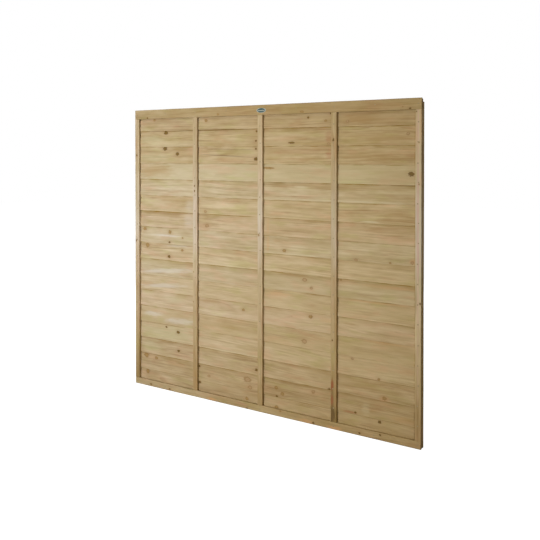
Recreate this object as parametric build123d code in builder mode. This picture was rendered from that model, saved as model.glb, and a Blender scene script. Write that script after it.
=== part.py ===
from build123d import *
import math
import os

os.makedirs("parts", exist_ok=True)

# Lap fence panel, in millimetres: X along the panel, -Y to its front, +Z up
# The origin is on the ground line, at the middle of the width and of the depth

# Overall size
panel_width = 1830.0
panel_height = 1680.0

# Lapped boards
board_count = 17
board_thickness = 4.5
board_lap = 26.0
board_foot = 1.0
board_top_gap = 5.0
board_end_gap = 1.0
board_arris = 1.0
board_clearance = 0.1

# Frame timber, the same on the front and the back apart from the lower back top rail
batten_count = 3
batten_width = 31.0
stile_width = 31.0
batten_thickness = 14.0
rail_thickness = 14.0
top_rail_height = 55.0
bottom_rail_height = 37.0
back_rail_drop = 18.0
arris_chamfer = 1.2

# Round wire nails
nail_shank_radius = 1.35
nail_head_radius = 3.25
nail_head_thickness = 1.0
nail_clearance = 0.05
nail_end_gap = 0.3
nail_cover = 4.0

# The stack of boards: how far apart and how tall they are, and how much each leans to lie on the next
boarded_height = panel_height - board_top_gap - board_foot
board_pitch = (boarded_height - board_lap) / board_count
board_height = board_pitch + board_lap
board_lean = math.asin(board_thickness / board_pitch)
board_length = panel_width - 2 * board_end_gap
lean_depth = board_height * math.sin(board_lean) + board_thickness * math.cos(board_lean)

# Planes of the frame: the core between its two halves, and its faces
core_depth = lean_depth + 2 * board_clearance
batten_face = core_depth / 2 + batten_thickness
rail_face = core_depth / 2 + rail_thickness
upright_foot = bottom_rail_height
upright_top = panel_height - top_rail_height
upright_length = upright_top - upright_foot

# Uprights from left to right: name, centre and face width
left_centre = (stile_width - panel_width) / 2
upright_gap = -2 * left_centre / (batten_count + 1)
battens = [
    (f"batten_{number}", left_centre + number * upright_gap, batten_width)
    for number in range(1, batten_count + 1)
]
uprights = [
    ("left_stile", left_centre, stile_width),
    *battens,
    ("right_stile", -left_centre, stile_width),
]
upright_centres = [centre for _, centre, _ in uprights]

# Rails: name, side that it faces along Y, foot and height
rails = [
    ("front_bottom_rail", -1, 0.0, bottom_rail_height),
    ("front_top_rail", -1, upright_top, top_rail_height),
    ("back_bottom_rail", 1, 0.0, bottom_rail_height),
    ("back_top_rail", 1, upright_top, top_rail_height - back_rail_drop),
]

# Nails go in from the front through the middle of the lowest and the highest lap
hole_radius = nail_shank_radius + nail_clearance
nail_length = 2 * batten_thickness + core_depth - nail_cover
lap_middle = board_lap / 2 * math.cos(board_lean)
nailed_laps = (1, board_count - 1)
nail_heights = [board_foot + lap * board_pitch + lap_middle for lap in nailed_laps]


def nail_planes(centres, heights):
    """Planes on the front of the uprights where nails go in, facing out."""
    return [
        Plane(origin=(centre, -batten_face, height), x_dir=(1, 0, 0), z_dir=(0, -1, 0))
        for centre in centres
        for height in heights
    ]


def outer_edges(timber, facing, along):
    """The two long edges on the face of a timber that looks out of the panel."""
    edges = timber.edges().filter_by(along).sort_by(Axis.Y)
    return edges[:2] if facing < 0 else edges[-2:]


def make_board(number):
    """One lapped board, leaning back from its lower edge, bored where nails cross it."""
    name = f"board_{number:02d}"
    lower_edge = board_foot + (number - 1) * board_pitch
    upper_edge = lower_edge + board_height * math.cos(board_lean)
    board_plane = Plane(
        origin=(0, board_clearance - core_depth / 2, lower_edge),
        x_dir=(1, 0, 0),
        z_dir=(0, -math.cos(board_lean), math.sin(board_lean)),
    )
    crossing = [z for z in nail_heights if lower_edge < z < upper_edge]
    with BuildPart() as board:
        with BuildSketch(board_plane):
            Rectangle(board_length, board_height, align=(Align.CENTER, Align.MIN))
        extrude(amount=-board_thickness)
        front_lower_edge = board.edges().filter_by(Axis.X).group_by(Axis.Y)[0]
        chamfer(front_lower_edge, length=board_arris)
        if crossing:
            with Locations(*nail_planes(upright_centres, crossing)):
                Hole(hole_radius, depth=nail_length)
    board.part.label = name
    export_step(board.part, f"parts/{name}.step")


def make_rail(name, facing, foot, height):
    """One full-width rail with its outer arrises eased."""
    depth_middle = facing * (rail_face - rail_thickness / 2)
    with BuildPart() as rail:
        with BuildSketch(Plane.YZ.offset(-panel_width / 2)):
            with Locations((depth_middle, foot + height / 2)):
                Rectangle(rail_thickness, height)
        extrude(amount=panel_width)
        chamfer(outer_edges(rail, facing, Axis.X), length=arris_chamfer)
    rail.part.label = name
    export_step(rail.part, f"parts/{name}.step")


def make_upright(name, facing, centre, width):
    """One stile or batten between the rails, its outer arrises eased, bored for its nails."""
    depth_middle = facing * (batten_face - batten_thickness / 2)
    with BuildPart() as upright:
        with BuildSketch(Plane.XY.offset(upright_foot)):
            with Locations((centre, depth_middle)):
                Rectangle(width, batten_thickness)
        extrude(amount=upright_length)
        chamfer(outer_edges(upright, facing, Axis.Z), length=arris_chamfer)
        with Locations(*nail_planes([centre], nail_heights)):
            Hole(hole_radius, depth=nail_length + nail_end_gap)
    upright.part.label = name
    export_step(upright.part, f"parts/{name}.step")


def make_nails(name, planes):
    """A group of like nails, each a round shank under a flat head that sits on the timber."""
    with BuildPart() as nail:
        with BuildSketch(Plane.XZ):
            with BuildLine():
                Polyline(
                    (0, nail_head_thickness),
                    (nail_head_radius, nail_head_thickness),
                    (nail_head_radius, 0),
                    (nail_shank_radius, 0),
                    (nail_shank_radius, -nail_length),
                    (0, -nail_length),
                    close=True,
                )
            make_face()
        revolve(axis=Axis.Z)
    with BuildPart() as nails:
        with Locations(*planes):
            add(nail.part)
    nails.part.label = name
    export_step(nails.part, f"parts/{name}.step")


# Boards from the bottom up
for board_number in range(1, board_count + 1):
    make_board(board_number)

# Rails
for rail_name, rail_facing, rail_foot, rail_height in rails:
    make_rail(rail_name, rail_facing, rail_foot, rail_height)

# Stiles and battens of the front half and the back half
for half, half_facing in {"front": -1, "back": 1}.items():
    for upright_name, upright_centre, upright_width in uprights:
        make_upright(f"{half}_{upright_name}", half_facing, upright_centre, upright_width)

# Nails
make_nails("lap_nails", nail_planes(upright_centres, nail_heights))

print(f"{board_count} boards of {board_height:.2f} mm at {board_pitch:.2f} mm, core {core_depth:.2f} mm")
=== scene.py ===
"""Looks of a lap fence panel: sawn boards, battens and rails, their wire nails and a plain oval tag.

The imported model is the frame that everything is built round. Each board, rail and upright becomes its own
sawn timber with its own grain and knots, in the place that the frame gives it. Lengths are metres unless
a name ends in _mm.
"""

import logging
import math
import random
from dataclasses import dataclass
from enum import Enum
from typing import Any

import bmesh
import bpy
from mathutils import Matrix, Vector


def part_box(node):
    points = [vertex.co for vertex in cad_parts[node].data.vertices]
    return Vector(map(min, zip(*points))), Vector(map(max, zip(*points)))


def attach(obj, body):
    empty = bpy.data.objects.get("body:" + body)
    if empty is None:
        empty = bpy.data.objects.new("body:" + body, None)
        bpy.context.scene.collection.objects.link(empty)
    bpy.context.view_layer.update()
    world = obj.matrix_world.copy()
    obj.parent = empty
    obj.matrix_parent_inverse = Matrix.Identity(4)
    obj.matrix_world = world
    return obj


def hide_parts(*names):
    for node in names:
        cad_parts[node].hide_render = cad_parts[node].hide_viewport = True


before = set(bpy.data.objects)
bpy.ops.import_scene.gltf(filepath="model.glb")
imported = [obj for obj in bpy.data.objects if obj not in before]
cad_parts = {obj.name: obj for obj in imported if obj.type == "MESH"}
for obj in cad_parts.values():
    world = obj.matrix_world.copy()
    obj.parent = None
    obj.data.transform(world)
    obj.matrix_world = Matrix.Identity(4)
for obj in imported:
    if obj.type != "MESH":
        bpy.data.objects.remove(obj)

MM = 0.001
NOISE_SPREAD = (-0.2, 0.2)
BODY = "root"

log = logging.getLogger("lap_fence_panel")

Colour = tuple[float, float, float, float]


def shown(red: int, green: int, blue: int) -> Colour:
    """Turns a colour as a screen shows it into the linear colour that a shader takes.

    Args:
        red: red, from 0 to 255.
        green: green, from 0 to 255.
        blue: blue, from 0 to 255.

    Returns:
        The linear colour with full alpha.
    """
    knee, slope, offset, power = 0.04045, 12.92, 0.055, 2.4
    parts = [value / 255 for value in (red, green, blue)]
    linear = [part / slope if part <= knee else ((part + offset) / (1 + offset)) ** power for part in parts]
    return (linear[0], linear[1], linear[2], 1.0)


class Wire:
    """One value in a node tree, so that maths on it is written as plain arithmetic."""

    def __init__(self, tree: "Tree", socket: bpy.types.NodeSocket) -> None:
        """Wraps an output socket of a tree."""
        self.tree = tree
        self.socket = socket

    def beside(self, output: int | str) -> "Wire":
        """Another output of the node that this value comes from."""
        return Wire(self.tree, Tree.socket(self.socket.node.outputs, output))

    def __add__(self, other: "Wire | float") -> "Wire":
        """The sum of the two."""
        return self.tree.maths("ADD", self, other)

    __radd__ = __add__

    def __sub__(self, other: "Wire | float") -> "Wire":
        """The other taken from this value."""
        return self.tree.maths("SUBTRACT", self, other)

    def __rsub__(self, other: "Wire | float") -> "Wire":
        """This value taken from the other."""
        return self.tree.maths("SUBTRACT", other, self)

    def __mul__(self, other: "Wire | float") -> "Wire":
        """The product of the two."""
        return self.tree.maths("MULTIPLY", self, other)

    __rmul__ = __mul__

    def __truediv__(self, other: "Wire | float") -> "Wire":
        """This value over the other."""
        return self.tree.maths("DIVIDE", self, other)

    def root(self) -> "Wire":
        """The square root."""
        return self.tree.maths("SQRT", self)

    def sine(self) -> "Wire":
        """The sine of an angle in radians."""
        return self.tree.maths("SINE", self)

    def fraction(self) -> "Wire":
        """What is left after the whole part."""
        return self.tree.maths("FRACT", self)

    def whole(self) -> "Wire":
        """The whole number below."""
        return self.tree.maths("FLOOR", self)

    def least(self, other: "Wire | float") -> "Wire":
        """The smaller of the two."""
        return self.tree.maths("MINIMUM", self, other)

    def most(self, other: "Wire | float") -> "Wire":
        """The larger of the two."""
        return self.tree.maths("MAXIMUM", self, other)

    def held(self) -> "Wire":
        """The value kept between 0 and 1."""
        return self.tree.maths("ADD", self, 0.0, clamp=True)

    def bell(self, width: float) -> "Wire":
        """A smooth hump that is 1 at zero and fades over a width."""
        return self.tree.maths("EXPONENT", self * self * (-1 / width**2))

    def rise(self, start: float, end: float) -> "Wire":
        """A smooth step from 0 at the start to 1 at the end."""
        inputs = {"Value": self, "From Min": start, "From Max": end, "To Min": 0.0, "To Max": 1.0}
        return self.tree.node("ShaderNodeMapRange", {"interpolation_type": "SMOOTHSTEP"}, inputs)


class Tree:
    """A node tree that is being built, for a material, the world or geometry."""

    def __init__(self, tree: bpy.types.NodeTree) -> None:
        """Starts from an empty tree."""
        self.tree = tree
        tree.nodes.clear()

    @classmethod
    def of_material(cls, name: str) -> tuple[bpy.types.Material, "Tree"]:
        """A new material and its empty tree."""
        made = bpy.data.materials.new(name)
        made.use_nodes = True
        return made, cls(made.node_tree)

    @staticmethod
    def socket(sockets: Any, key: int | str) -> bpy.types.NodeSocket:
        """The socket at a place or with an identifier."""
        if isinstance(key, int):
            return sockets[key]
        return next(socket for socket in sockets if socket.identifier == key)

    def add(self, kind: str, settings: dict[str, Any], inputs: dict[int | str, Any]) -> bpy.types.Node:
        """Adds any node.

        Args:
            kind: the node's type.
            settings: its properties, set before its inputs.
            inputs: values or links, by the socket's place or identifier.

        Returns:
            The new node.
        """
        made = self.tree.nodes.new(kind)
        for name, value in settings.items():
            setattr(made, name, value)
        for key, value in inputs.items():
            socket = self.socket(made.inputs, key)
            for one in value if isinstance(value, list) else [value]:
                if isinstance(one, Wire):
                    self.tree.links.new(one.socket, socket)
                else:
                    socket.default_value = one
        return made

    def node(
        self,
        kind: str,
        settings: dict[str, Any] | None = None,
        inputs: dict[int | str, Any] | None = None,
        output: int | str = 0,
    ) -> Wire:
        """Adds any node and gives one of its outputs.

        Args:
            kind: the node's type.
            settings: its properties, set before its inputs.
            inputs: values or links, by the socket's place or identifier.
            output: the output that is wanted.

        Returns:
            The output.
        """
        made = self.add(kind, settings or {}, inputs or {})
        return Wire(self, self.socket(made.outputs, output))

    def maths(self, operation: str, *values: "Wire | float", clamp: bool = False) -> Wire:
        """Adds a Math node on some values in order."""
        settings = {"operation": operation, "use_clamp": clamp}
        return self.node("ShaderNodeMath", settings, dict(enumerate(values)))

    def vector(self, x: "Wire | float", y: "Wire | float", z: "Wire | float") -> Wire:
        """Puts three numbers together as a vector."""
        return self.node("ShaderNodeCombineXYZ", None, {"X": x, "Y": y, "Z": z})

    def split(self, vector: Wire) -> tuple[Wire, Wire, Wire]:
        """Takes a vector apart into its three numbers."""
        x = self.node("ShaderNodeSeparateXYZ", None, {"Vector": vector})
        return x, x.beside("Y"), x.beside("Z")

    def vectors(self, operation: str, *values: Any, output: int | str = 0) -> Wire:
        """Adds a Vector Math node on some vectors in order."""
        return self.node("ShaderNodeVectorMath", {"operation": operation}, dict(enumerate(values)), output)

    def scaled(self, vector: Wire, factor: "Wire | float") -> Wire:
        """A vector or colour times a number."""
        return self.node("ShaderNodeVectorMath", {"operation": "SCALE"}, {"Vector": vector, "Scale": factor})

    def mix(self, factor: "Wire | float", first: Any, second: Any) -> Wire:
        """Mixes two colours."""
        inputs = {"Factor_Float": factor, "A_Color": first, "B_Color": second}
        return self.node("ShaderNodeMix", {"data_type": "RGBA"}, inputs, "Result_Color")

    def noise(self, where: Wire, detail: float = 2.0) -> Wire:
        """Smooth noise about zero, mostly between -0.3 and 0.3, that changes over one unit."""
        inputs = {"Vector": where, "Scale": 1.0, "Detail": detail, "Roughness": 0.55}
        return self.node("ShaderNodeTexNoise", {"noise_dimensions": "3D"}, inputs) - 0.5

    def place(self, kind: str = "Object") -> Wire:
        """Where a shaded point is, or another of its coordinates."""
        return self.node("ShaderNodeTexCoord", None, None, kind)

    def seen_by_camera(self) -> Wire:
        """Whether a ray comes straight from the camera."""
        return self.node("ShaderNodeLightPath", None, None, "Is Camera Ray")

    def surface(self, shader: Wire, output: str = "ShaderNodeOutputMaterial") -> None:
        """Ends a material's or the world's tree with its shader."""
        self.add(output, {}, {"Surface": shader})

    def principled(self, inputs: dict[str, Any]) -> None:
        """Ends a material's tree with a Principled shader."""
        self.surface(self.node("ShaderNodeBsdfPrincipled", None, inputs))


class Grain(Enum):
    """The way that a timber's grain runs."""

    LEVEL = "along the panel"
    UPRIGHT = "up the panel"


class Shade(Enum):
    """The colours of treated softwood, each as its early wood and its late wood."""

    PALE = (shown(204, 185, 146), shown(158, 130, 86))
    GREEN = (shown(203, 186, 145), shown(157, 132, 86))
    HONEY = (shown(203, 181, 139), shown(157, 127, 80))
    PINK = (shown(205, 182, 143), shown(160, 130, 87))
    BROWN = (shown(195, 171, 128), shown(148, 118, 74))
    RAIL = (shown(192, 169, 124), shown(147, 119, 75))
    BATTEN = (shown(204, 182, 142), shown(160, 131, 88))


class KnotKind(Enum):
    """How a knot looks: its heart's colour, its rim's, how deep its halo is and how much its heart covers."""

    DEAD = (shown(116, 86, 14), shown(94, 68, 8), 0.36, 0.9)
    LIVE = (shown(172, 136, 76), shown(140, 106, 46), 0.34, 0.8)
    FAINT = (shown(186, 151, 103), shown(150, 117, 68), 0.25, 0.65)


class Tint(Enum):
    """The colours of patches on the wood, some also used for painted light and shade."""

    # Pale streaks, and also the painted sheen on the front uprights.
    BLEACH = shown(220, 211, 192)
    # Pale wood, and also painted highlights along some boards' lower edges.
    STRAW = shown(218, 202, 158)
    MOSS = shown(192, 186, 138)
    # Brown stains, and also painted shade towards the foot of the front uprights.
    FLAME = shown(172, 137, 82)
    ORANGE = shown(208, 160, 104)
    ROSE = shown(190, 144, 108)
    LILAC = shown(212, 170, 150)
    RUST = shown(162, 88, 50)
    # Dirt, and also painted shade under a lap edge, beside the right stile and under the bottom rail.
    GRIME = shown(92, 66, 30)


class Cast(Enum):
    """What the colour of the wood is multiplied by where it has changed, and where light and shade are
    painted on it.
    """

    NONE = (1.0, 1.0, 1.0, 1.0)
    GREENISH = (0.95, 1.0, 0.88, 1.0)
    PINKISH = (1.035, 0.95, 0.96, 1.0)
    # Painted light: cooler on the left where more light falls, warmer towards the shaded right.
    FRESH = (1.0, 1.01, 1.03, 1.0)
    MELLOW = (1.0, 0.96, 0.81, 1.0)
    # Painted shade on the panel's end faces, darker towards the foot.
    WEATHERED = (0.6, 0.54, 0.38, 1.0)
    SOILED = (0.36, 0.28, 0.14, 1.0)


class Pattern(Enum):
    """Noises in the wood: length and width in millimetres, the layer that sets one apart, and detail."""

    FIBRE = (55, 0.9, 0.0, 3.0)
    STREAK = (480, 6.5, 0.3, 3.0)
    KNOT_EDGE = (10, 7, 0.7, 3.0)
    RING = (120, 14, 0.9, 2.0)
    LIVELINESS = (380, 34, 2.2, 2.0)
    BLOTCH = (170, 46, 5.2, 3.0)
    FLECK = (100, 8, 6.4, 2.0)
    PATCH_EDGE = (60, 9, 7.9, 3.0)
    CLOUD = (140, 34, 8.4, 2.0)


DEAD, LIVE, FAINT = KnotKind
BLEACH, STRAW, MOSS, FLAME, ORANGE, ROSE, LILAC, RUST, GRIME = Tint


@dataclass(frozen=True)
class Knot:
    """A knot, in millimetres from the start of its timber and from that timber's lower or left edge."""

    along_mm: float
    across_mm: float
    radius_mm: float
    kind: KnotKind = DEAD
    stretch: float = 1.3


@dataclass(frozen=True)
class Patch:
    """A patch of another colour, in millimetres as a knot is, which may climb along the timber."""

    along_mm: float
    across_mm: float
    length_mm: float
    height_mm: float
    tint: Tint
    strength: float = 0.4
    climb: float = 0.0


@dataclass(frozen=True)
class TimberFinish:
    """The wood of one timber, cut from its own place in a log.

    Attributes:
        name: the material's name.
        grain: the way that the grain runs.
        start: the timber's lowest corner.
        shade: its colours.
        seed: what sets its pattern apart.
        knots: its knots.
        patches: its patches of other colours.
        sheltered_mm: how far up a board the next one covers it, or nothing.
        bay_mm: how far apart uprights stand on a board, or nothing.
        tone: how light it is beside others of its shade.
        lap_shade_and_damp: how much painted shade, partly from dampness, darkens a board under that lap.
        figure: how strong its grain is beside others of its shade.
        sheen_mm: where along an upright its painted sheen is brightest, or nothing.
        panel_start: the left end of the panel, from where a painted hue of light turns the wood golden
            towards the right.
        panel_mm: the panel's width.
        ring_gap_mm: the distance from one growth ring to the next.
        wander_length_mm: the length over which the log's heart wanders.
        wander_mm: how far it wanders.
        pith_reach_mm: how far to either side the heart may lie.
        pith_depth_mm: how far behind the face it may lie.
        roughness: how rough the wood is.
        specular: how much it reflects.
    """

    name: str
    grain: Grain
    start: Vector
    shade: Shade
    seed: int
    knots: tuple[Knot, ...] = ()
    patches: tuple[Patch, ...] = ()
    sheltered_mm: float | None = None
    bay_mm: float | None = None
    tone: float = 1.0
    lap_shade_and_damp: float = 0.07
    figure: float = 1.0
    sheen_mm: float | None = None
    panel_start: float = -0.915
    panel_mm: float = 1830.0
    ring_gap_mm: float = 4.2
    wander_length_mm: float = 950.0
    wander_mm: float = 34.0
    pith_reach_mm: tuple[float, float] = (-70.0, 190.0)
    pith_depth_mm: tuple[float, float] = (24.0, 95.0)
    roughness: float = 0.68
    specular: float = 0.28

    def material(self) -> bpy.types.Material:
        """Builds the material and returns it."""
        return Wood(self).material


class Wood:
    """The nodes of one timber's wood.

    Attributes:
        timber: the finish that they follow.
        material: the material that they make.
        tree: its tree.
        along: millimetres along the grain.
        across: millimetres across it.
        depth: millimetres into the timber.
        bent: millimetres across the grain as it bends round knots.
        late: how much late wood there is.
        fibre: the fine streaks.
        streak: the broad ones.
    """

    def __init__(self, timber: TimberFinish) -> None:
        """Builds the material for a finish."""
        self.timber = timber
        self.material, self.tree = Tree.of_material(timber.name)
        self.along, self.across, self.depth = self._place()
        self.bent, nearest = self._bend_round_knots()
        radius = self._ring_radius()
        ring = (radius / timber.ring_gap_mm).fraction()
        self.late = ring * ring * ring
        self.fibre = self._noise(Pattern.FIBRE, self.bent, self.depth)
        self.streak = self._noise(Pattern.STREAK, radius)
        wood = self.tree.vectors("MULTIPLY", self._age(self._fresh()), self._tone())
        wood = self._paint_patches(wood)
        fibre_relief, ring_relief, knot_dip, dip_rim, dip_floor = 1.6, 0.35, 0.4, 1.15, 0.8
        fibre_roughness, late_gloss = 0.3, 0.06
        relief = self.fibre * fibre_relief + self.late * ring_relief
        for kind, distance in nearest.items():
            wood = self._paint_knots(wood, kind, distance)
            relief = relief - distance.rise(dip_rim, dip_floor) * knot_dip
        bump = {"Strength": 0.4, "Distance": 0.5 * MM, "Height": relief}
        roughness = timber.roughness + self.fibre * fibre_roughness - self.late * late_gloss
        surface = {
            "Base Color": wood,
            "Roughness": roughness.held(),
            "Specular IOR Level": timber.specular,
            "Normal": self.tree.node("ShaderNodeBump", None, bump),
        }
        self.tree.principled(surface)

    def _place(self) -> tuple[Wire, Wire, Wire]:
        """Millimetres along the grain, across it and into the timber."""
        x, y, z = self.tree.split(self.tree.place())
        start = self.timber.start
        from_left = (x - start.x) / MM
        from_front = (y - start.y) / MM
        from_foot = (z - start.z) / MM
        if self.timber.grain is Grain.LEVEL:
            return from_left, from_foot, from_front
        return from_foot, from_left, from_front

    def _noise(self, pattern: Pattern, across: Wire, depth: Wire | float = 0.0) -> Wire:
        """One of the wood's noises, by a place across the grain and one into the timber."""
        length, width, layer, detail = pattern.value
        layer_place = depth / width + (self.timber.seed + layer)
        return self.tree.noise(self.tree.vector(self.along / length, across / width, layer_place), detail)

    def _change(self, length_mm: float, layer: float) -> Wire:
        """Noise that changes along the grain alone, over a length."""
        return self.tree.noise(self.tree.vector(self.along / length_mm, self.timber.seed + layer, 0.0))

    def _cast(self, factor: Wire, first: Cast, second: Cast) -> Wire:
        """What the wood's colour is multiplied by, between two casts."""
        return self.tree.mix(factor, first.value, second.value)

    def _bend_round_knots(self) -> tuple[Wire, dict[KnotKind, Wire]]:
        """Makes the grain swerve round each knot.

        Returns:
            The place across the grain that the bent grain follows, and for each kind of knot the distance
            to the nearest one, where 1 is its rim.
        """
        swerve, swerve_length, strength, raggedness = 2.0, 3.4, 0.8, 1.7
        tree = self.tree
        place = tree.vector(self.along, self.across, 0.0)
        ragged = self._noise(Pattern.KNOT_EDGE, self.across) * raggedness
        bent = self.across
        nearest: dict[KnotKind, Wire] = {}
        for knot in self.timber.knots:
            offset = tree.vectors("SUBTRACT", place, (knot.along_mm, knot.across_mm, 0.0))
            reach = (1 / (knot.radius_mm * knot.stretch), 1 / knot.radius_mm, 0.0)
            distance = tree.vectors("LENGTH", tree.vectors("MULTIPLY", offset, reach), output="Value")
            known = nearest.get(knot.kind)
            nearest[knot.kind] = distance.least(known) if known else distance
            wide = (reach[0] * swerve / swerve_length, reach[1], 0.0)
            around = tree.vectors("LENGTH", tree.vectors("MULTIPLY", offset, wide), output="Value")
            bent = bent - tree.split(offset)[1] * around.bell(swerve) * strength
        return bent, {kind: distance + ragged for kind, distance in nearest.items()}

    def _ring_radius(self) -> Wire:
        """Millimetres from the heart of the log, which wanders along the timber."""
        sideways_share, unevenness_mm = 1.8, 1.5
        timber, tree = self.timber, self.tree
        chance = random.Random(timber.seed)
        pith_across = chance.uniform(*timber.pith_reach_mm)
        pith_depth = chance.uniform(*timber.pith_depth_mm)
        wander = self.along / timber.wander_length_mm
        sideways = tree.noise(tree.vector(wander, timber.seed + 0.1, 0.0)) * timber.wander_mm * sideways_share
        inwards = tree.noise(tree.vector(wander, timber.seed + 0.6, 4.0)) * timber.wander_mm
        reach = self.bent - pith_across - sideways
        sunk = self.depth + pith_depth + inwards
        return (reach * reach + sunk * sunk).root() + self._noise(Pattern.RING, self.bent) * unevenness_mm

    def _fresh(self) -> Wire:
        """The colour of the wood between its knots, as sawn."""
        least_late, late_share, fleck_share, fibre_share = 0.17, 0.22, 0.6, 0.3
        calm, liveliness = 0.4, 1.3
        tree = self.tree
        early_wood, late_wood = self.timber.shade.value
        fleck = self._noise(Pattern.FLECK, self.bent)
        lively = self._noise(Pattern.LIVELINESS, self.across).rise(*NOISE_SPREAD) * liveliness + calm
        grain = (self.late * late_share + self.streak + fleck * fleck_share) * lively * self.timber.figure
        wood = tree.mix((least_late + grain + self.fibre * fibre_share).held(), early_wood, late_wood)
        blotch = self._noise(Pattern.BLOTCH, self.across)
        plain, full = 0.02, 0.2
        greenish = self._cast(blotch.rise(plain, full), Cast.NONE, Cast.GREENISH)
        pinkish = self._cast(blotch.rise(-plain, -full), Cast.NONE, Cast.PINKISH)
        return tree.vectors("MULTIPLY", wood, tree.vectors("MULTIPLY", greenish, pinkish))

    def _age(self, wood: Wire) -> Wire:
        """Paints light and shade: a warmer hue to the shaded right, shade on the panel's end faces, and on
        front uprights a sheen and a darker foot.
        """
        end_shade_start_mm, end_shade_full_mm, end_darker_top_mm, end_darker_foot_mm = 1.0, 0.2, 600, 20
        sheen_reach_mm, sheen, foot_shade_top_mm, foot_shade_foot_mm, foot_shade = 260, 0.32, 520, 60, 0.3
        timber, tree = self.timber, self.tree
        level = timber.grain is Grain.LEVEL
        level_mm, upright_mm = (self.along, self.across) if level else (self.across, self.along)
        from_left = level_mm + (timber.start.x - timber.panel_start) / MM
        from_foot = upright_mm + timber.start.z / MM
        # Painted light: cooler on the left where more light falls, warmer towards the shaded right.
        light_hue = self._cast(from_left.rise(0, timber.panel_mm), Cast.FRESH, Cast.MELLOW)
        wood = tree.vectors("MULTIPLY", wood, light_hue)
        # Painted shade on the panel's end faces, darker towards the foot.
        right_end = from_left.rise(timber.panel_mm - end_shade_start_mm, timber.panel_mm - end_shade_full_mm)
        ended = right_end.most(from_left.rise(end_shade_start_mm, end_shade_full_mm))
        end_shade = self._cast(from_foot.rise(end_darker_top_mm, end_darker_foot_mm), Cast.WEATHERED, Cast.SOILED)
        wood = tree.vectors("MULTIPLY", wood, tree.mix(ended, Cast.NONE.value, end_shade))
        # On the front uprights: a painted sheen, and painted shade towards the foot.
        if timber.sheen_mm:
            lightened = (self.along - timber.sheen_mm).bell(sheen_reach_mm) * sheen
            wood = tree.mix(lightened, wood, BLEACH.value)
            wood = tree.mix(self.along.rise(foot_shade_top_mm, foot_shade_foot_mm) * foot_shade, wood, FLAME.value)
        return wood

    def _tone(self) -> Wire:
        """What the wood's colour is multiplied by, with its painted sheen and shade, which makes darker wood
        browner too.
        """
        cloudiness, red_share, blue_share = 0.58, 0.8, 1.65
        light_reach_mm, light, dark_top_mm, dark_foot_mm, dark = 300, 0.06, 480, 60, 0.17
        timber = self.timber
        tone = timber.tone + self._noise(Pattern.CLOUD, self.bent) * cloudiness * timber.figure
        # On the front uprights: a painted sheen, and painted shade towards the foot.
        if timber.sheen_mm:
            tone = tone + (self.along - timber.sheen_mm).bell(light_reach_mm) * light
            tone = tone - self.along.rise(dark_top_mm, dark_foot_mm) * dark
        # Painted shade under each lap and close beside the uprights.
        if timber.sheltered_mm:
            tone = tone - self._lap_shade(timber.sheltered_mm)
        if timber.bay_mm:
            tone = tone - self._upright_shade(timber.bay_mm)
        change = tone - 1.0
        return self.tree.vector(change * red_share + 1.0, tone, change * blue_share + 1.0)

    def _lap_shade(self, lap_mm: float) -> Wire:
        """How much darker a board is painted under the next one's edge, partly from dampness, with a thin
        painted shadow there, less a painted highlight, partly rubbed, on its lower edge.
        """
        lap_darkening_change, lap_darkening_start_mm, lap_darkening_full_mm = 0.16, 38, 4
        line_strength, line_below_mm, line_reach_mm = 0.36, 1, 3.2
        highlight_and_wear, pale_edge_top_mm, pale_edge_foot_mm = 0.13, 6, 1
        lap_shade_and_damp = self.timber.lap_shade_and_damp + self._change(130, 3.1) * lap_darkening_change
        line = self._change(90, 4.3).rise(-0.2, 0.16) * line_strength
        worn = self._change(80, 6.1).rise(-0.15, 0.2) * highlight_and_wear
        # Painted shade under the lap, a thin painted shadow just under its edge, and a painted highlight,
        # partly rubbed wood, on this board's lower edge.
        shade = self.across.rise(lap_mm - lap_darkening_start_mm, lap_mm - lap_darkening_full_mm) * lap_shade_and_damp
        shade = shade + (self.across - (lap_mm - line_below_mm)).bell(line_reach_mm) * line
        return shade - self.across.rise(pale_edge_top_mm, pale_edge_foot_mm) * worn

    def _upright_shade(self, bay_mm: float) -> Wire:
        """How much darker a board is in broken lines close beside the uprights."""
        inset_mm, line_place, line_reach, strength = 1, 0.987, 0.008, 0.32
        break_length_mm, break_height_mm, layer = 40, 25, 9.7
        beside = (((self.along + inset_mm) / bay_mm).fraction() - line_place).bell(line_reach)
        place = self.tree.vector(self.along / break_length_mm, self.across / break_height_mm, layer)
        return beside * self.tree.noise(place).rise(-0.25, 0.2) * strength

    def _paint_patches(self, wood: Wire) -> Wire:
        """Paints the patches on the front, streaked as the grain is."""
        raggedness, cover, streakiness, rim, core = 1.4, 0.8, 1.6, 1.35, 0.35
        tree = self.tree
        ragged = self._noise(Pattern.PATCH_EDGE, self.across) * raggedness
        facing = tree.split(tree.place("Normal"))[1].rise(0.3, -0.3)
        thickness = (cover + self.streak * streakiness).held() * facing
        for patch in self.timber.patches:
            past = self.along - patch.along_mm
            off = self.across - patch.across_mm - past * patch.climb
            reach = tree.vector(past / (patch.length_mm / 2), off / (patch.height_mm / 2), 0.0)
            distance = tree.vectors("LENGTH", reach, output="Value") + ragged
            paint = distance.rise(rim, core) * thickness * patch.strength
            wood = tree.mix(paint, wood, patch.tint.value)
        return wood

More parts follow.
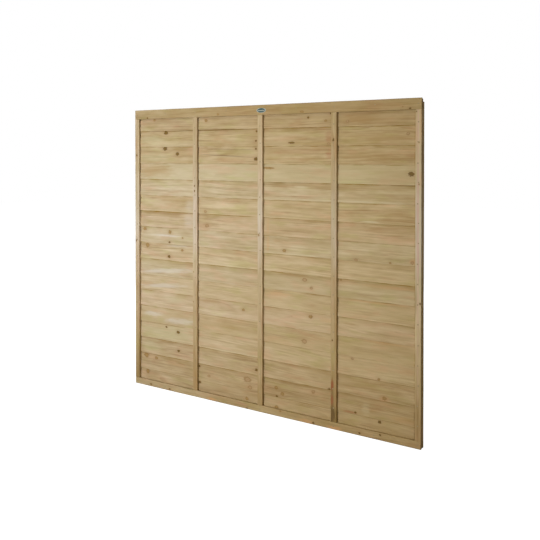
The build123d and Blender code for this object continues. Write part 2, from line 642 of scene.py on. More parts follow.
    def _paint_knots(self, wood: Wire, kind: KnotKind, distance: Wire) -> Wire:
        """Paints the knots of one kind, each with a stained halo, a dark rim and rings in its heart."""
        halo_reach, halo_colour = 2.3, shown(170, 131, 82)
        ring_rate, ring_contrast, ring_level = 15, 0.16, 0.9
        rim_place, rim_width, rim_strength, heart_rim, heart_core = 0.98, 0.24, 0.75, 1.15, 0.7
        heart, rim, halo, cover = kind.value
        tree = self.tree
        rings = (distance * ring_rate).sine() * ring_contrast + ring_level
        wood = tree.mix(distance.bell(halo_reach) * halo, wood, halo_colour)
        wood = tree.mix(distance.rise(heart_rim, heart_core) * cover, wood, tree.scaled(heart[:3], rings))
        return tree.mix((distance - rim_place).bell(rim_width) * rim_strength, wood, rim)


@dataclass(frozen=True)
class PlainFinish:
    """A hard finish with some unevenness, for the nails.

    Attributes:
        name: the material's name.
        colour: its colour.
        worn: the colour of its duller patches.
        metallic: how metallic it is.
        roughness: how rough it is.
        patch: the size of its patches.
    """

    name: str
    colour: Colour
    worn: Colour
    metallic: float
    roughness: float
    patch: float

    def material(self) -> bpy.types.Material:
        """Builds the material and returns it."""
        unevenness = 0.3
        made, tree = Tree.of_material(self.name)
        patchy = tree.noise(tree.scaled(tree.place(), 1 / self.patch), 3.0)
        surface = {
            "Base Color": tree.mix(patchy.rise(*NOISE_SPREAD), self.colour, self.worn),
            "Metallic": self.metallic,
            "Roughness": (self.roughness + patchy * unevenness).held(),
        }
        tree.principled(surface)
        return made


class GeometryTool:
    """A geometry tree with named inputs, run once for each piece that it makes."""

    ARRIS_CUTS = 3
    SHARP = math.radians(50)

    def __init__(self, name: str, inputs: dict[str, tuple[str, ...]]) -> None:
        """Makes an empty tree.

        Args:
            name: the tree's name.
            inputs: the names of its inputs, by the kind of their socket.
        """
        group = bpy.data.node_groups.new(name, "GeometryNodeTree")
        group.is_modifier = True
        group.interface.new_socket("Geometry", in_out="INPUT", socket_type="NodeSocketGeometry")
        group.interface.new_socket("Geometry", in_out="OUTPUT", socket_type="NodeSocketGeometry")
        self.identifiers: dict[str, str] = {}
        for kind, labels in {**inputs, "Material": ("Material",)}.items():
            for label in labels:
                made = group.interface.new_socket(label, in_out="INPUT", socket_type=f"NodeSocket{kind}")
                self.identifiers[label] = made.identifier
        self.tree = Tree(group)
        self.entry = self.tree.node("NodeGroupInput")

    def value(self, label: str) -> Wire:
        """One of the tree's inputs."""
        return self.entry.beside(self.identifiers[label])

    def moved(self, shape: Wire, way: str, amount: Wire) -> Wire:
        """A shape after a translation or a rotation."""
        return self.tree.node("GeometryNodeTransform", None, {"Geometry": shape, way: amount})

    def end(self, shape: Wire) -> None:
        """Makes instances real, sets the material and ends the tree."""
        real = self.tree.node("GeometryNodeRealizeInstances", None, {0: shape})
        dressed = {"Geometry": real, "Material": self.value("Material")}
        self.tree.add("NodeGroupOutput", {}, {0: self.tree.node("GeometryNodeSetMaterial", None, dressed)})

    def run(self, name: str, values: dict[str, Any], arris: float = 0.0) -> bpy.types.Object:
        """Makes one piece.

        Args:
            name: the piece's name.
            values: the value of each input, by name.
            arris: the radius of its rounded edges.

        Returns:
            The piece as a plain mesh at the origin.
        """
        blank = bpy.data.meshes.new(name)
        piece = bpy.data.objects.new(name, blank)
        bpy.context.scene.collection.objects.link(piece)
        shape = piece.modifiers.new("shape", "NODES")
        shape.node_group = self.tree.tree
        for label, value in values.items():
            shape[self.identifiers[label]] = value
        if arris:
            rounding = piece.modifiers.new("arris", "BEVEL")
            rounding.width = arris
            rounding.segments = self.ARRIS_CUTS
            rounding.limit_method = "ANGLE"
            rounding.angle_limit = self.SHARP
        done = piece.evaluated_get(bpy.context.evaluated_depsgraph_get())
        mesh = bpy.data.meshes.new_from_object(done)
        piece.modifiers.clear()
        piece.data = mesh
        bpy.data.meshes.remove(blank)
        return piece


def add_piece(piece: bpy.types.Object, node: str | None = None) -> None:
    """Joins a finished piece to the panel.

    Args:
        piece: the finished piece.
        node: the frame's node that it stands for, if any.
    """
    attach(piece, BODY)
    if node:
        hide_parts(node)
    log.info("%s: %d faces", piece.name, len(piece.data.polygons))


class SawnTimberTool(GeometryTool):
    """Saws a straight timber with slightly wavy edges, which may bow out between battens.

    Attributes:
        EDGE_WAVES: how often an edge waves along and across a timber, the step between seeds, and its layer.
        FACE_WAVES: the same of a face.
    """

    EDGE_WAVES = (7.0, 5.0, 1.7, 0.0)
    FACE_WAVES = (2.6, 1.5, 2.3, 40.0)

    def __init__(self) -> None:
        """Builds the tree."""
        inputs = {
            "Vector": ("Size", "Pivot", "Turn", "Place"),
            "Int": ("Cuts Along", "Cuts Across"),
            "Float": ("Edge Wave", "Face Wave", "Bow", "Bay", "Seed"),
        }
        super().__init__("sawn_timber", inputs)
        tree, size = self.tree, self.value("Size")
        along, across = self.value("Cuts Along"), self.value("Cuts Across")
        cube = {"Size": size, "Vertices X": along, "Vertices Y": 2, "Vertices Z": across}
        block = tree.node("GeometryNodeMeshCube", None, cube)
        x, _, z = tree.split(tree.node("GeometryNodeInputPosition"))
        height = z / tree.split(size)[2]
        edge = self._wave(x, height, self.EDGE_WAVES) * self.value("Edge Wave")
        face = self._wave(x, height, self.FACE_WAVES) * self.value("Face Wave")
        bay = x / self.value("Bay")
        swell = (bay * math.pi).sine()
        which = tree.vector(bay.whole(), self.value("Seed"), 0.0)
        chance = tree.node("ShaderNodeTexWhiteNoise", {"noise_dimensions": "3D"}, {"Vector": which}, "Value")
        top = 0.5
        bow = swell * swell * (top - height) * chance * self.value("Bow")
        offset = tree.vector(0.0, face - bow, edge)
        shaped = tree.node("GeometryNodeSetPosition", None, {"Geometry": block, "Offset": offset})
        centred = self.moved(shaped, "Translation", tree.scaled(self.value("Pivot"), -1.0))
        turned = self.moved(centred, "Rotation", self.value("Turn"))
        self.end(self.moved(turned, "Translation", self.value("Place")))

    def _wave(self, x: Wire, height: Wire, waves: tuple[float, float, float, float]) -> Wire:
        """One of a timber's wavy noises."""
        along, across, step, layer = waves
        seed = self.value("Seed") * step + layer
        return self.tree.noise(self.tree.vector(x * along, height * across, seed))


class WireNailTool(GeometryTool):
    """Drives wire nails in a grid on an upright face, each a little off its mark."""

    HEAD_SIDES = 14
    SHANK_SIDES = 8

    def __init__(self) -> None:
        """Builds the tree."""
        inputs = {
            "Int": ("Columns", "Rows", "Seed"),
            "Float": ("Width", "Height", "Head Radius", "Head Thickness", "Shank Radius", "Length", "Stray"),
            "Vector": ("Middle", "Facing"),
        }
        super().__init__("wire_nails", inputs)
        tree = self.tree
        grid = {
            "Size X": self.value("Width"),
            "Size Y": self.value("Height"),
            "Vertices X": self.value("Columns"),
            "Vertices Y": self.value("Rows"),
        }
        marks = tree.node("GeometryNodeMeshGrid", None, grid)
        stray = self.value("Stray")
        low, high = tree.vector(stray * -1.0, stray * -1.0, 0.0), tree.vector(stray, stray, 0.0)
        spread = {"Min": low, "Max": high, "Seed": self.value("Seed")}
        offset = tree.node("FunctionNodeRandomValue", {"data_type": "FLOAT_VECTOR"}, spread, "Value")
        marks = tree.node("GeometryNodeSetPosition", None, {"Geometry": marks, "Offset": offset})
        nails = tree.node("GeometryNodeInstanceOnPoints", None, {"Points": marks, "Instance": self._nail()})
        facing = self.moved(nails, "Rotation", self.value("Facing"))
        self.end(self.moved(facing, "Translation", self.value("Middle")))

    def _nail(self) -> Wire:
        """One nail along the grid's own depth, with its head on the surface."""
        thickness, length = self.value("Head Thickness"), self.value("Length")
        head = self._rod(self.HEAD_SIDES, self.value("Head Radius"), thickness, thickness / 2)
        shank = self._rod(self.SHANK_SIDES, self.value("Shank Radius"), length, length / -2)
        return self.tree.node("GeometryNodeJoinGeometry", None, {0: [head, shank]})

    def _rod(self, sides: int, radius: Wire, length: Wire, lift: Wire) -> Wire:
        """A rod with its middle lifted from the surface."""
        round_bar = {"Vertices": sides, "Radius": radius, "Depth": length}
        rod = self.tree.node("GeometryNodeMeshCylinder", None, round_bar)
        return self.moved(rod, "Translation", self.tree.vector(0.0, 0.0, lift))


@dataclass(frozen=True)
class BoardStock:
    """What one board was sawn from.

    Attributes:
        shade: its colours.
        tone: how light it is beside others of its shade.
        lap_shade_and_damp: how much painted shade, partly from dampness, darkens it under the lap.
        figure: how strong its grain is.
    """

    shade: Shade
    tone: float = 1.0
    lap_shade_and_damp: float = 0.07
    figure: float = 1.0


BOARD_STOCK: tuple[BoardStock, ...] = (
    BoardStock(Shade.BROWN, 1.0, 0.05, 0.9),
    BoardStock(Shade.BROWN, 0.97, 0.1),
    BoardStock(Shade.BROWN, 1.07, 0.16, 1.2),
    BoardStock(Shade.HONEY, 1.04, 0.0, 0.85),
    BoardStock(Shade.HONEY, 0.98, 0.0, 0.7),
    BoardStock(Shade.PINK, 1.05, 0.1, 0.85),
    BoardStock(Shade.HONEY, 1.06, 0.04, 0.85),
    BoardStock(Shade.PALE, 1.0, 0.22, 0.8),
    BoardStock(Shade.HONEY, 1.08, 0.1),
    BoardStock(Shade.PALE, 1.03, 0.04),
    BoardStock(Shade.PINK, 1.02, 0.18, 1.1),
    BoardStock(Shade.HONEY, 1.03, 0.03),
    BoardStock(Shade.PALE, 1.02, 0.14, 1.1),
    BoardStock(Shade.GREEN, 1.04, 0.0, 0.45),
    BoardStock(Shade.HONEY, 0.93, 0.0, 1.1),
    BoardStock(Shade.HONEY, 0.92, 0.05),
    BoardStock(Shade.BROWN, 0.98, 0.07, 1.2),
)

BOARD_KNOTS: dict[int, tuple[Knot, ...]] = {
    1: (
        Knot(83, 81, 11, LIVE, 0.8), Knot(486, 84, 6), Knot(817, 51, 7, LIVE), Knot(1011, 41, 8, LIVE),
        Knot(1611, 83, 6),
    ),
    2: (
        Knot(72, 81, 11, LIVE), Knot(152, 76, 7, LIVE), Knot(483, 81, 5), Knot(554, 35, 6, FAINT),
        Knot(820, 60, 12, FAINT, 1.8), Knot(839, 21, 9, FAINT), Knot(1009, 49, 7, LIVE),
        Knot(1049, 23, 7, LIVE), Knot(1014, 4, 5), Knot(1236, 68, 7, FAINT), Knot(1480, 9, 4.5),
    ),
    3: (
        Knot(328, 48, 6), Knot(883, 28, 7), Knot(896, 84, 6, LIVE), Knot(1332, 1, 6),
        Knot(1637, 13, 7, LIVE),
    ),
    4: (Knot(232, 82, 4.5), Knot(323, 62, 7.5), Knot(1460, 84, 5, FAINT), Knot(1608, 4, 5, LIVE)),
    5: (Knot(1184, 36, 10, FAINT),),
    6: (Knot(793, 58, 6, LIVE), Knot(1220, 73, 8, LIVE)),
    8: (Knot(1184, 69, 9, FAINT), Knot(1226, 30, 6, FAINT), Knot(1395, 90, 4, LIVE)),
    9: (Knot(84, 80, 10, LIVE), Knot(257, 24, 7.5), Knot(356, 67, 6, LIVE)),
    10: (
        Knot(62, 82, 8, LIVE), Knot(261, 73, 8, LIVE), Knot(261, 12, 5), Knot(359, 43, 4, LIVE),
        Knot(1061, 21, 7, LIVE), Knot(1483, 5, 6, FAINT), Knot(1667, 5, 4, LIVE), Knot(1779, 15, 6, FAINT),
    ),
    11: (Knot(541, 30, 8, FAINT),),
    12: (Knot(530, 14, 6, FAINT),),
    14: (Knot(957, 75, 5, LIVE, 6.0), Knot(1774, 54, 9.5, DEAD, 1.35)),
    15: (Knot(224, 87, 10), Knot(321, 56, 9), Knot(876, 83, 4.5), Knot(879, 27, 8.5)),
    16: (
        Knot(231, 84, 10), Knot(879, 30, 5), Knot(882, 82, 4.5), Knot(1105, 18, 4.5, DEAD, 3.5),
        Knot(1328, 11, 5, FAINT), Knot(1755, 55, 6, FAINT),
    ),
    17: (
        Knot(142, 66, 5, LIVE), Knot(533, 54, 7, LIVE), Knot(1206, 52, 4.5), Knot(1310, 33, 5, LIVE),
        Knot(1340, 69, 4.5), Knot(1434, 27, 6, FAINT),
    ),
}

BOARD_PATCHES: dict[int, tuple[Patch, ...]] = {
    # The dark patch at 1793 mm is painted shade close beside the right stile.
    1: (Patch(1793, 50, 9, 120, GRIME, 0.6), Patch(85, 82, 34, 44, GRIME, 0.35)),
    2: (
        Patch(76, 84, 50, 30, GRIME, 0.35), Patch(152, 76, 26, 22, GRIME, 0.25),
        # The dark patch at 1793 mm is painted shade close beside the right stile.
        Patch(1793, 50, 9, 120, GRIME, 0.45), Patch(1446, 5, 90, 14, RUST, 0.6),
        Patch(1740, 21, 150, 36, ORANGE, 0.35), Patch(1535, 34, 46, 60, STRAW, 0.35),
    ),
    3: (
        Patch(120, 50, 160, 70, MOSS, 0.35), Patch(1600, 62, 420, 60, FLAME, 0.35),
        Patch(1637, 7, 60, 36, ORANGE, 0.45),
    ),
    # The pale patch at 3 mm is a painted highlight along the lower edge, partly rubbed wood.
    4: (Patch(250, 45, 420, 90, MOSS, 0.5), Patch(700, 3, 430, 8, STRAW, 0.5)),
    5: (
        Patch(125, 52, 150, 28, BLEACH, 0.6, 0.05), Patch(345, 33, 240, 38, BLEACH, 0.5, 0.08),
        Patch(690, 58, 380, 80, FLAME, 0.35), Patch(1650, 90, 310, 14, ORANGE, 0.4),
        Patch(1740, 66, 130, 44, FLAME, 0.35),
    ),
    6: (
        Patch(270, 60, 170, 40, MOSS, 0.35), Patch(560, 80, 140, 20, FLAME, 0.45),
        Patch(1442, 65, 100, 13, FLAME, 0.8), Patch(1318, 66, 90, 24, ORANGE, 0.35),
    ),
    7: (
        Patch(205, 37, 340, 28, BLEACH, 0.5, 0.09), Patch(1025, 74, 160, 22, ORANGE, 0.45),
        Patch(1600, 91, 400, 10, ORANGE, 0.4),
    ),
    8: (Patch(230, 32, 400, 28, BLEACH, 0.6, 0.086), Patch(1655, 77, 300, 20, ORANGE, 0.4)),
    # The pale patch at 4 mm is a painted highlight along the lower edge, partly rubbed wood.
    9: (Patch(700, 4, 430, 8, STRAW, 0.6), Patch(330, 90, 220, 20, BLEACH, 0.35)),
    10: (
        # The pale patch at 6 mm is a painted highlight along the lower edge, partly rubbed wood.
        Patch(240, 50, 230, 11, BLEACH, 0.8), Patch(1155, 6, 330, 9, STRAW, 0.7),
        Patch(1783, 20, 44, 26, ORANGE, 0.5), Patch(956, 50, 22, 90, ORANGE, 0.4),
    ),
    11: (
        Patch(410, 48, 80, 100, BLEACH, 0.3), Patch(1680, 64, 300, 54, FLAME, 0.6),
        Patch(956, 50, 22, 90, ORANGE, 0.3),
    ),
    12: (
        Patch(320, 73, 280, 28, FLAME, 0.45), Patch(412, 40, 70, 70, BLEACH, 0.3),
        # The pale patch at 7 mm is a painted highlight along the lower edge, partly rubbed wood.
        Patch(1705, 34, 230, 80, FLAME, 0.55), Patch(1560, 7, 90, 9, STRAW, 0.7),
    ),
    13: (
        Patch(1370, 75, 880, 36, FLAME, 0.35), Patch(1630, 36, 360, 36, FLAME, 0.35),
        # The pale patch at 8 mm is a painted highlight along the lower edge, partly rubbed wood.
        Patch(1370, 8, 860, 10, STRAW, 0.6), Patch(1160, 73, 96, 15, STRAW, 0.6),
    ),
    14: (Patch(145, 51, 300, 90, FLAME, 0.65), Patch(1680, 42, 280, 90, FLAME, 0.25)),
    15: (
        Patch(140, 33, 240, 56, MOSS, 0.45), Patch(690, 81, 430, 6, GRIME, 0.4, -0.02),
        Patch(690, 44, 420, 6, GRIME, 0.45, -0.048), Patch(1155, 67, 350, 30, ROSE, 0.25),
        Patch(1140, 28, 420, 8, FLAME, 0.6), Patch(1600, 36, 420, 50, FLAME, 0.5),
        Patch(1330, 52, 44, 46, RUST, 0.4),
    ),
    16: (
        Patch(120, 41, 210, 60, MOSS, 0.4), Patch(230, 20, 400, 40, STRAW, 0.45),
        # The dark patch at 94 mm is a painted shadow just under the next board's edge.
        Patch(1328, 40, 44, 66, RUST, 0.35), Patch(430, 94, 900, 6, GRIME, 0.5),
        Patch(1620, 37, 380, 54, FLAME, 0.55),
    ),
    17: (Patch(1505, 36, 140, 44, FLAME, 0.7), Patch(1600, 40, 440, 90, FLAME, 0.35)),
}


@dataclass
class LappedBoards:
    """The stack of thin boards, from the bottom up."""

    thickness: float = 4.5 * MM
    arris: float = 0.7 * MM
    edge_wave: float = 3.6 * MM
    face_wave: float = 0.6 * MM
    bow: float = 1.6 * MM
    tilt: float = math.radians(0.12)
    cut_length: float = 10 * MM
    cuts_across: int = 10
    first_seed: int = 11
    tilt_seed: int = 5

    def build(self, tool: SawnTimberTool, bay: float) -> None:
        """Saws, finishes and places every board.

        Args:
            tool: what saws them.
            bay: the distance between uprights, over which boards bow.
        """
        names = sorted(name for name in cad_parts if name.startswith("board_"))
        feet = [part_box(name)[0].z for name in names]
        pitch = feet[1] - feet[0]
        lean = math.asin(self.thickness / pitch)
        chance = random.Random(self.tilt_seed)
        for number, name in enumerate(names, start=1):
            low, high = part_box(name)
            length = high.x - low.x
            rise = self.thickness * math.sin(lean)
            height = (high.z - low.z - rise) / math.cos(lean)
            free = 1 < number < len(names)
            tilt = chance.uniform(-self.tilt, self.tilt) if free else 0.0
            stock = BOARD_STOCK[number - 1]
            finish = TimberFinish(
                f"{name}_wood",
                Grain.LEVEL,
                low,
                stock.shade,
                self.first_seed + number,
                BOARD_KNOTS.get(number, ()),
                BOARD_PATCHES.get(number, ()),
                sheltered_mm=pitch / MM,
                bay_mm=bay / MM,
                tone=stock.tone,
                lap_shade_and_damp=stock.lap_shade_and_damp,
                figure=stock.figure,
            )
            sizes = {
                "Size": (length, self.thickness, height),
                "Cuts Along": round(length / self.cut_length),
                "Cuts Across": self.cuts_across,
                "Pivot": (0.0, -self.thickness / 2, -height / 2),
                "Turn": (-lean, tilt, 0.0),
                "Place": (0.0, low.y, low.z + rise),
                "Edge Wave": self.edge_wave,
                "Face Wave": self.face_wave,
                "Bow": self.bow,
                "Bay": bay,
                "Seed": float(number),
                "Material": finish.material(),
            }
            add_piece(tool.run(f"{name}_sawn", sizes, self.arris), name)


FRAME_TONES: dict[str, float] = {
    "front_top_rail": 0.905,
    "front_left_stile": 0.925,
    "front_batten_1": 0.98,
    "front_batten_3": 0.88,
    "front_right_stile": 1.1,
}

FRAME_KNOTS: dict[str, tuple[Knot, ...]] = {
    "front_top_rail": (
        Knot(100, 6, 4), Knot(632, 12, 5, LIVE), Knot(1178, 9, 5, LIVE, 2.0), Knot(1735, 14, 2.5, LIVE),
        Knot(1772, 5, 4),
    ),
    "front_bottom_rail": (
        Knot(126, 14, 4.5), Knot(273, 10, 4.5), Knot(829, 4, 4), Knot(1046, 31, 4, LIVE), Knot(1247, 10, 5),
        Knot(1510, 14, 4), Knot(1622, 27, 4),
    ),
    "front_left_stile": (Knot(845, 7, 4), Knot(1367, 13, 4.5)),
    "front_batten_1": (Knot(516, 4, 2, LIVE), Knot(690, 4, 2, LIVE), Knot(1161, 13, 3), Knot(1191, 13, 3)),
    "front_batten_2": (Knot(933, 8, 4, LIVE),),
    "front_batten_3": (Knot(421, 8, 3.5), Knot(1448, 14, 5)),
    "front_right_stile": (
        Knot(661, 26, 3), Knot(1231, 19, 2.5, LIVE), Knot(1430, 18, 2.5, LIVE), Knot(1578, 6, 2.5),
    ),
}

FRAME_PATCHES: dict[str, tuple[Patch, ...]] = {
    "front_top_rail": (Patch(1150, 28, 1500, 80, FLAME, 0.35), Patch(1100, 54, 2400, 7, GRIME, 0.4)),
    "front_bottom_rail": (
        # The dark patch at 1 mm along the lower edge is painted shade at the rail's underside.
        Patch(1200, 18, 1500, 60, FLAME, 0.3), Patch(915, 1, 2600, 8, GRIME, 0.5),
        Patch(1204, 10, 90, 22, ORANGE, 1.0), Patch(1372, 9, 90, 20, ORANGE, 1.0),
        Patch(590, 10, 70, 14, ORANGE, 0.7), Patch(793, 22, 90, 18, ROSE, 0.5),
    ),
    "front_batten_3": (
        Patch(120, 8, 240, 18, GRIME, 0.55), Patch(188, 6, 60, 20, RUST, 1.0),
        Patch(112, 6, 60, 20, RUST, 0.9), Patch(34, 12, 110, 36, GRIME, 1.0),
        Patch(600, 16, 560, 70, FLAME, 0.25),
    ),
    "front_batten_1": (
        Patch(690, 20, 500, 12, ROSE, 0.25), Patch(30, 16, 260, 60, FLAME, 0.4),
        Patch(520, 16, 560, 70, FLAME, 0.3),
    ),
    "front_left_stile": (Patch(30, 16, 300, 60, GRIME, 0.28),),
    "front_right_stile": (
        Patch(1000, 15, 1500, 10, LILAC, 0.7), Patch(1100, 25, 1300, 11, STRAW, 0.6),
        Patch(1520, 27, 210, 10, ORANGE, 0.5), Patch(1255, 27, 90, 10, ORANGE, 0.5),
    ),
}


@dataclass
class BattenFrame:
    """The rails, stiles and battens that hold the boards from both sides."""

    arris: float = 2.0 * MM
    edge_wave: float = 1.4 * MM
    face_wave: float = 0.5 * MM
    cut_length: float = 14 * MM
    cuts_across: int = 4
    first_seed: int = 70
    # Where the painted sheen on the front uprights is brightest.
    sheen_mm: float = 1000.0

    def build(self, tool: SawnTimberTool) -> None:
        """Saws, finishes and places every rail and upright."""
        names = sorted(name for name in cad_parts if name.startswith(("front_", "back_")))
        for number, name in enumerate(names):
            low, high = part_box(name)
            size = high - low
            upright = size.z > size.x
            seed = self.first_seed + number
            finish = TimberFinish(
                f"{name}_wood",
                Grain.UPRIGHT if upright else Grain.LEVEL,
                low,
                Shade.BATTEN if upright else Shade.RAIL,
                seed,
                FRAME_KNOTS.get(name) or self._chance_knots(seed, max(size) / MM, min(size.x, size.z) / MM),
                FRAME_PATCHES.get(name, ()),
                tone=FRAME_TONES.get(name, 1.0),
                sheen_mm=self.sheen_mm if upright and name.startswith("front_") else None,
            )
            length, width = (size.z, size.x) if upright else (size.x, size.z)
            sizes = {
                "Size": (length, size.y, width),
                "Cuts Along": round(length / self.cut_length),
                "Cuts Across": self.cuts_across,
                "Pivot": (0.0, 0.0, 0.0),
                "Turn": (0.0, math.radians(-90) if upright else 0.0, 0.0),
                "Place": tuple((low + high) / 2),
                "Edge Wave": self.edge_wave,
                "Face Wave": self.face_wave,
                "Bow": 0.0,
                "Bay": 1.0,
                "Seed": float(seed),
                "Material": finish.material(),
            }
            add_piece(tool.run(f"{name}_sawn", sizes, self.arris), name)

    def _chance_knots(self, seed: int, length_mm: float, width_mm: float) -> tuple[Knot, ...]:
        """A few knots for a timber that the photograph doesn't show."""
        end_share, side_share, smallest_mm, largest_mm, fewest, most = 0.05, 0.1, 4, 7, 1, 4
        chance = random.Random(seed)
        return tuple(
            Knot(
                chance.uniform(end_share, 1 - end_share) * length_mm,
                chance.uniform(side_share, 1 - side_share) * width_mm,
                chance.uniform(smallest_mm, largest_mm),
                chance.choice((DEAD, LIVE)),
            )
            for _ in range(chance.randint(fewest, most))
        )


@dataclass
class Nailing:
    """The wire nails: the frame's own, and those in the laps between and in the rails."""

    head_radius: float = 3.25 * MM
    head_thickness: float = 1.0 * MM
    shank_radius: float = 1.35 * MM
    length: float = 34.4 * MM
    stray: float = 3.0 * MM
    rail_nails: int = 9
    finish: PlainFinish = PlainFinish(
        "dull_zinc_nail",
        colour=shown(182, 163, 122),
        worn=shown(156, 135, 96),
        metallic=0.1,
        roughness=0.7,
        patch=4 * MM,
    )

    def build(self, tool: WireNailTool) -> None:
        """Dresses the frame's nails and drives the others."""
        material = self.finish.material()
        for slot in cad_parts["lap_nails"].material_slots:
            slot.material = material
        low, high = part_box("lap_nails")
        front = low.y + self.head_thickness
        width = high.x - low.x - 2 * self.head_radius
        laps = len([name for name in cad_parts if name.startswith("board_")]) - 1
        first, last = low.z + self.head_radius, high.z - self.head_radius
        pitch = (last - first) / (laps - 1)
        uprights = len([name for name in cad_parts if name.startswith("front_") and "rail" not in name])
        middle_x = (low.x + high.x) / 2
        between = Vector((middle_x, front, (first + last) / 2))
        spread = (width, last - first - 2 * pitch)
        self._drive(tool, "lap_nails_between", (uprights, laps - 2), spread, between, material, 1)
        for seed, name in enumerate(("front_top_rail", "front_bottom_rail"), start=2):
            rail_low, rail_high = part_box(name)
            middle = Vector((middle_x, rail_low.y, (rail_low.z + rail_high.z) / 2))
            self._drive(tool, f"{name}_nails", (self.rail_nails, 1), (width, 0.0), middle, material, seed)

    def _drive(
        self,
        tool: WireNailTool,
        name: str,
        count: tuple[int, int],
        spread: tuple[float, float],
        middle: Vector,
        material: bpy.types.Material,
        seed: int,
    ) -> None:
        """Drives one grid of nails into a front face.

        Args:
            tool: what makes them.
            name: the piece's name.
            count: the number of columns and rows.
            spread: how far apart the outer columns and the outer rows are.
            middle: the middle of the grid, on the face.
            material: the nails' material.
            seed: what sets their strays apart.
        """
        sizes = {
            "Columns": count[0],
            "Rows": count[1],
            "Width": spread[0],
            "Height": spread[1],
            "Middle": tuple(middle),
            "Facing": (math.radians(90), 0.0, 0.0),
            "Head Radius": self.head_radius,
            "Head Thickness": self.head_thickness,
            "Shank Radius": self.shank_radius,
            "Length": self.length,
            "Stray": self.stray,
            "Seed": seed,
            "Material": material,
        }
        add_piece(tool.run(name, sizes))


@dataclass
class OvalTag:
    """A plain oval plate on the front of the top rail, with a pale rim and a pale band across it."""

    width: float = 60 * MM
    height: float = 27 * MM
    thickness: float = 1.2 * MM
    edge: float = 0.5 * MM
    eased: float = 0.15 * MM
    from_middle: float = 9 * MM
    below_top: float = 30 * MM
    points: int = 72
    patch_mm: float = 6.0

    def build(self) -> None:
        """Makes the plate and fixes it to the rail."""
        low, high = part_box("front_top_rail")
        middle = Vector(((low.x + high.x) / 2 + self.from_middle, low.y, high.z - self.below_top))
        rings = (
            (0.0, 0.0),
            (0.0, self.thickness - self.edge),
            (self.eased, self.thickness - self.eased),
            (self.edge, self.thickness),
        )
        shape = bmesh.new()
        loops = [self._ring(shape, middle, inset, out) for inset, out in rings]
        shape.faces.new(loops[0])
        shape.faces.new(loops[-1])
        for inner, outer in zip(loops, loops[1:]):
            for index in range(self.points):
                after = (index + 1) % self.points
                shape.faces.new((inner[index], inner[after], outer[after], outer[index]))
        bmesh.ops.recalc_face_normals(shape, faces=shape.faces)
        mesh = bpy.data.meshes.new("oval_tag")
        shape.to_mesh(mesh)
        shape.free()
        mesh.materials.append(self._material(middle))
        piece = bpy.data.objects.new("oval_tag", mesh)
        bpy.context.scene.collection.objects.link(piece)
        add_piece(piece)

    def _ring(self, shape: bmesh.types.BMesh, middle: Vector, inset: float, out: float) -> list:
        """One loop of points round the plate, a little inside its outline and out from the rail."""
        across, up = self.width / 2 - inset, self.height / 2 - inset
        turns = [2 * math.pi * index / self.points for index in range(self.points)]
        offsets = [Vector((across * math.cos(turn), -out, up * math.sin(turn))) for turn in turns]
        return [shape.verts.new(middle + offset) for offset in offsets]

    def _material(self, middle: Vector) -> bpy.types.Material:
        """Enamel in a muted dark teal, paler at the rim and in a band across the middle."""
        below_middle, band_width, band_end, band_full = 0.08, 0.2, 0.8, 0.6
        rim_start, rim_full, pale_strength, base_roughness, unevenness = 0.78, 0.86, 0.8, 0.55, 0.3
        made, tree = Tree.of_material("tag_enamel")
        x, _, z = tree.split(tree.place())
        across = (x - middle.x) / (self.width / 2)
        up = (z - middle.z) / (self.height / 2)
        out = (across * across + up * up).root()
        band = (up + below_middle).bell(band_width) * out.rise(band_end, band_full)
        rim = out.rise(rim_start, rim_full)
        patchy = tree.noise(tree.vector(x / MM / self.patch_mm, 0.0, z / MM / self.patch_mm), 3.0)
        enamel = tree.mix(patchy.rise(*NOISE_SPREAD), shown(36, 66, 64), shown(50, 78, 70))
        colour = tree.mix(band.most(rim).held() * pale_strength, enamel, shown(190, 193, 176))
        roughness = (base_roughness + patchy * unevenness).held()
        tree.principled({"Base Color": colour, "Roughness": roughness, "Specular IOR Level": 0.3})
        return made


@dataclass(frozen=True)
class SoftLamp:
    """A square soft lamp.

    Attributes:
        name: its name.
        place: where it hangs.
        target: what it faces.
        size: the length of its side.
        watts: its power.
        spread: the angle in degrees that its light is kept within.
        colour: its colour.
    """

    name: str
    place: tuple[float, float, float]
    target: tuple[float, float, float]
    size: float
    watts: float
    spread: float
    colour: tuple[float, float, float] = (0.97, 1.0, 1.1)

    def hang(self) -> None:
        """Puts the lamp in its place."""
        data = bpy.data.lights.new(self.name, "AREA")
        data.spread = math.radians(self.spread)
        data.color = self.colour
        data.shape = "SQUARE"
        data.size = self.size
        data.energy = self.watts
        lamp = bpy.data.objects.new(self.name, data)
        lamp.location = self.place
        lamp.rotation_euler = (Vector(self.target) - Vector(self.place)).to_track_quat("-Z", "Y").to_euler()
        bpy.context.scene.collection.objects.link(lamp)


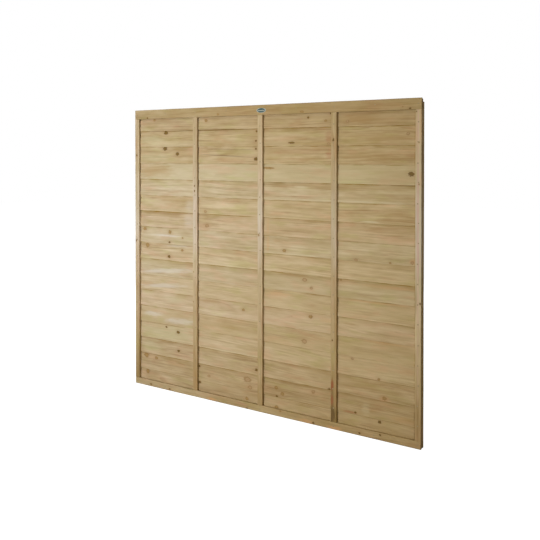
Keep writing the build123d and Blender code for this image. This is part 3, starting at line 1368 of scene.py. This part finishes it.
@dataclass
class Studio:
    """The camera at the photograph's place, soft lamps, a pale floor and a white background.

    The camera's values are fitted to the panel's four front corners in the 540 by 540 picture.
    """

    picture: float = 540.0
    focal_pixels: float = 690.1
    sensor: float = 36.0
    shift: float = -0.1965
    camera_at: tuple[float, float, float] = (2.0518, -3.1702, 1.4079)
    turn: float = math.radians(32.226)
    pitch: float = math.radians(0.75)
    floor_size: float = 30.0
    ambient: float = 0.18
    bounce: Colour = (1.0, 0.85, 0.58, 1.0)
    white: Colour = (1.0, 1.0, 1.0, 1.0)
    floor_glow: float = 0.94
    floor_tint: Colour = (0.96, 0.98, 1.0, 1.0)
    floor_paint: Colour = (0.6, 0.6, 0.6, 1.0)
    far: float = 100.0
    lamps: tuple[SoftLamp, ...] = (
        SoftLamp("key_lamp", (-0.6, -5.0, 1.3), (-1.0, 0.0, 1.15), size=1.8, watts=46, spread=87),
        SoftLamp("top_lamp", (-0.3, -1.6, 3.4), (0.0, 0.0, 0.9), size=1.8, watts=10, spread=180),
        SoftLamp("side_lamp", (5.0, -0.9, 1.2), (0.0, 0.0, 0.9), size=1.6, watts=10, spread=180),
        SoftLamp("back_lamp", (-1.6, 3.6, 1.7), (0.0, 0.0, 0.85), size=1.6, watts=95, spread=180),
    )

    def build(self) -> None:
        """Sets up everything round the panel."""
        self._camera()
        self._world()
        self._floor()
        for lamp in self.lamps:
            lamp.hang()
        bpy.context.scene.view_settings.view_transform = "Standard"

    def _camera(self) -> None:
        """Places the camera."""
        data = bpy.data.cameras.new("camera")
        data.sensor_width = self.sensor
        data.lens = self.focal_pixels / self.picture * self.sensor
        data.shift_y = self.shift
        data.clip_end = self.far
        camera = bpy.data.objects.new("camera", data)
        camera.location = self.camera_at
        camera.rotation_euler = (math.radians(90) - self.pitch, 0.0, self.turn)
        bpy.context.scene.collection.objects.link(camera)
        bpy.context.scene.camera = camera

    def _world(self) -> None:
        """Dim even light, with white where the camera, gloss or glass sees past everything."""
        world = bpy.data.worlds.new("studio")
        world.use_nodes = True
        bpy.context.scene.world = world
        tree = Tree(world.node_tree)
        path = tree.seen_by_camera()
        seen = path.most(path.beside("Is Glossy Ray")).most(path.beside("Is Transmission Ray"))
        dim = tree.node("ShaderNodeBackground", None, {"Color": self.bounce, "Strength": self.ambient})
        white = tree.node("ShaderNodeBackground", None, {"Color": self.white, "Strength": 1.0})
        both = tree.node("ShaderNodeMixShader", None, {0: seen, 1: dim, 2: white})
        tree.surface(both, "ShaderNodeOutputWorld")

    def _floor(self) -> None:
        """A plain pale floor, which keeps the panel's shadow."""
        half = self.floor_size / 2
        corners = [(-half, -half, 0), (half, -half, 0), (half, half, 0), (-half, half, 0)]
        mesh = bpy.data.meshes.new("floor")
        mesh.from_pydata(corners, [], [(0, 1, 2, 3)])
        material, tree = Tree.of_material("pale_floor")
        paint = tree.node("ShaderNodeBsdfDiffuse", None, {"Color": self.floor_paint})
        glow = {"Color": self.floor_tint, "Strength": tree.seen_by_camera() * self.floor_glow}
        emission = tree.node("ShaderNodeEmission", None, glow)
        tree.surface(tree.node("ShaderNodeAddShader", None, {0: paint, 1: emission}))
        mesh.materials.append(material)
        floor = bpy.data.objects.new("floor", mesh)
        bpy.context.scene.collection.objects.link(floor)


def main() -> None:
    """Builds the panel's pieces, then what stands round it."""
    logging.basicConfig(level=logging.INFO, format="%(message)s")
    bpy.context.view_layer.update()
    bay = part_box("front_batten_2")[0].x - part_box("front_batten_1")[0].x
    timber_tool = SawnTimberTool()
    LappedBoards().build(timber_tool, bay)
    BattenFrame().build(timber_tool)
    Nailing().build(WireNailTool())
    OvalTag().build()
    Studio().build()


if __name__ == "__main__":
    main()
